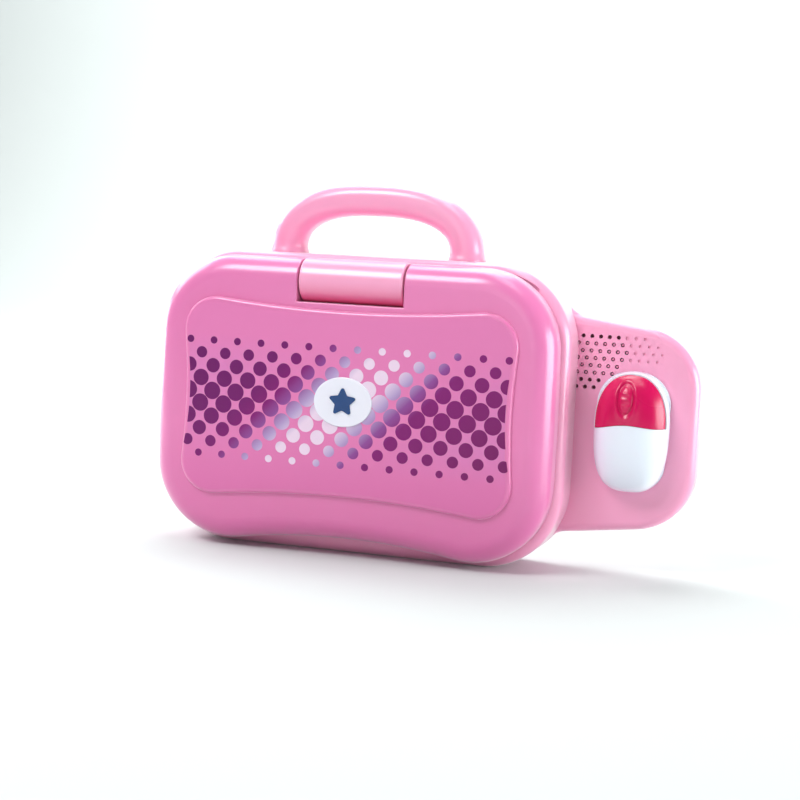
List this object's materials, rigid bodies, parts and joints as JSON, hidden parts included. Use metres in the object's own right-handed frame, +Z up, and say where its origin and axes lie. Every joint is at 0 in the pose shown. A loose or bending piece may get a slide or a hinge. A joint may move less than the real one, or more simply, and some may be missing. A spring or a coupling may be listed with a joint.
{
  "type": "toy laptop computer",
  "caption": "Child's toy laptop shaped like a small carry case, with a hinged lid, a fixed carry handle and a mouse on a side wing.",
  "frame": {"origin": "middle of the flat edge that the closed case stands on, at the parting line's depth of the base shells' front part", "axes": "+Z up towards the carry handle, +X towards the mouse wing, -Y towards the lid's printed face"},
  "size_m": [0.3065, 0.0667, 0.2085],
  "materials": {
    "light_pink_plastic": "satin moulded",
    "orchid_pink_plastic": "satin moulded",
    "white_plastic": "satin moulded",
    "crimson_plastic": "satin moulded",
    "purple_plastic": "satin moulded",
    "sunny_yellow_plastic": "satin moulded",
    "grass_green_plastic": "satin moulded",
    "sky_blue_plastic": "satin moulded",
    "orange_plastic": "satin moulded",
    "black_plastic": "matt moulded",
    "lilac_rubber": "matt silicone",
    "grey_rubber": "matt rubber",
    "printed_film": "printed film with a field of round spots",
    "badge_white": "gloss",
    "badge_blue": "gloss",
    "clear_window": "clear gloss",
    "lcd_glass": "grey green display",
    "circuit_board_green": "solder mask",
    "screw_steel": "zinc plated",
    "dark_magnet": "sintered",
    "black_paper": "pressed paper",
    "battery_jacket": "plain printed jacket"
  },
  "bodies": {
    "base": {"base_top_shell": "light_pink_plastic", "base_bottom_shell": "light_pink_plastic", "carry_handle": "light_pink_plastic", "hinge_barrel": "light_pink_plastic", "keyboard_deck": "white_plastic", "letter_keymat": "lilac_rubber", "main_circuit_board": "circuit_board_green", "circuit_board_screws": "screw_steel", "speaker_frame": "screw_steel", "speaker_cone": "black_paper", "speaker_magnet": "dark_magnet", "battery_tray": "light_pink_plastic", "aa_batteries": "battery_jacket", "battery_contacts": "screw_steel", "battery_springs": "screw_steel", "battery_door": "light_pink_plastic", "battery_door_screw": "screw_steel", "base_screws": "screw_steel", "rubber_feet": "grey_rubber", "mouse_guide_rails": "white_plastic"},
    "lid": {"lid_outer_shell": "orchid_pink_plastic", "lid_graphic_label": "printed_film", "badge_plate": "badge_white", "badge_star": "badge_blue", "lid_inner_cover": "white_plastic", "screen_window": "clear_window", "screen_display": "lcd_glass", "screen_circuit_board": "circuit_board_green", "lid_screws": "screw_steel", "lid_bumpers": "grey_rubber", "hinge_pins": "screw_steel"},
    "mouse_carriage": {"mouse_carriage": "black_plastic"},
    "mouse": {"mouse_body": "white_plastic", "mouse_foot_plate": "white_plastic", "mouse_switch": "black_plastic", "mouse_retainer": "black_plastic", "mouse_retainer_screw": "screw_steel"},
    "mouse_button": {"mouse_button": "crimson_plastic"},
    "mode_button_1": {"mode_button_1": "sunny_yellow_plastic"},
    "mode_button_2": {"mode_button_2": "grass_green_plastic"},
    "mode_button_3": {"mode_button_3": "sky_blue_plastic"},
    "mode_button_4": {"mode_button_4": "orange_plastic"},
    "music_button": {"music_button": "purple_plastic"},
    "repeat_button": {"repeat_button": "sky_blue_plastic"},
    "help_button": {"help_button": "sunny_yellow_plastic"},
    "enter_button": {"enter_button": "crimson_plastic"},
    "volume_slider": {"volume_slider": "purple_plastic"}
  },
  "joints": [
    {"name": "lid_hinge", "type": "hinge", "parent": "base", "child": "lid", "pos_m": [0, -0.0185, 0.153], "axis": [-1, 0, 0], "range_deg": [0, 115]},
    {"name": "mouse_slide_across", "type": "slide", "parent": "base", "child": "mouse_carriage", "axis": [1, 0, 0], "range_m": [-0.005, 0.005]},
    {"name": "mouse_slide_along", "type": "slide", "parent": "mouse_carriage", "child": "mouse", "axis": [0, 0, 1], "range_m": [-0.006, 0.006]},
    {"name": "mouse_button_press", "type": "slide", "parent": "mouse", "child": "mouse_button", "axis": [0, 1, 0], "range_m": [0, 0.001], "stiffness_N_per_m": 300, "springref_m": -0.0008},
    {"name": "mode_button_1_press", "type": "slide", "parent": "base", "child": "mode_button_1", "axis": [0, 1, 0], "range_m": [0, 0.0015], "stiffness_N_per_m": 300, "springref_m": -0.0008},
    {"name": "mode_button_2_press", "type": "slide", "parent": "base", "child": "mode_button_2", "axis": [0, 1, 0], "range_m": [0, 0.0015], "stiffness_N_per_m": 300, "springref_m": -0.0008},
    {"name": "mode_button_3_press", "type": "slide", "parent": "base", "child": "mode_button_3", "axis": [0, 1, 0], "range_m": [0, 0.0015], "stiffness_N_per_m": 300, "springref_m": -0.0008},
    {"name": "mode_button_4_press", "type": "slide", "parent": "base", "child": "mode_button_4", "axis": [0, 1, 0], "range_m": [0, 0.0015], "stiffness_N_per_m": 300, "springref_m": -0.0008},
    {"name": "music_button_press", "type": "slide", "parent": "base", "child": "music_button", "axis": [0, 1, 0], "range_m": [0, 0.0015], "stiffness_N_per_m": 300, "springref_m": -0.0008},
    {"name": "repeat_button_press", "type": "slide", "parent": "base", "child": "repeat_button", "axis": [0, 1, 0], "range_m": [0, 0.0015], "stiffness_N_per_m": 300, "springref_m": -0.0008},
    {"name": "help_button_press", "type": "slide", "parent": "base", "child": "help_button", "axis": [0, 1, 0], "range_m": [0, 0.0015], "stiffness_N_per_m": 300, "springref_m": -0.0008},
    {"name": "enter_button_press", "type": "slide", "parent": "base", "child": "enter_button", "axis": [0, 1, 0], "range_m": [0, 0.0015], "stiffness_N_per_m": 300, "springref_m": -0.0008},
    {"name": "volume_slider_travel", "type": "slide", "parent": "base", "child": "volume_slider", "axis": [1, 0, 0], "range_m": [0, 0.01]}
  ]
}
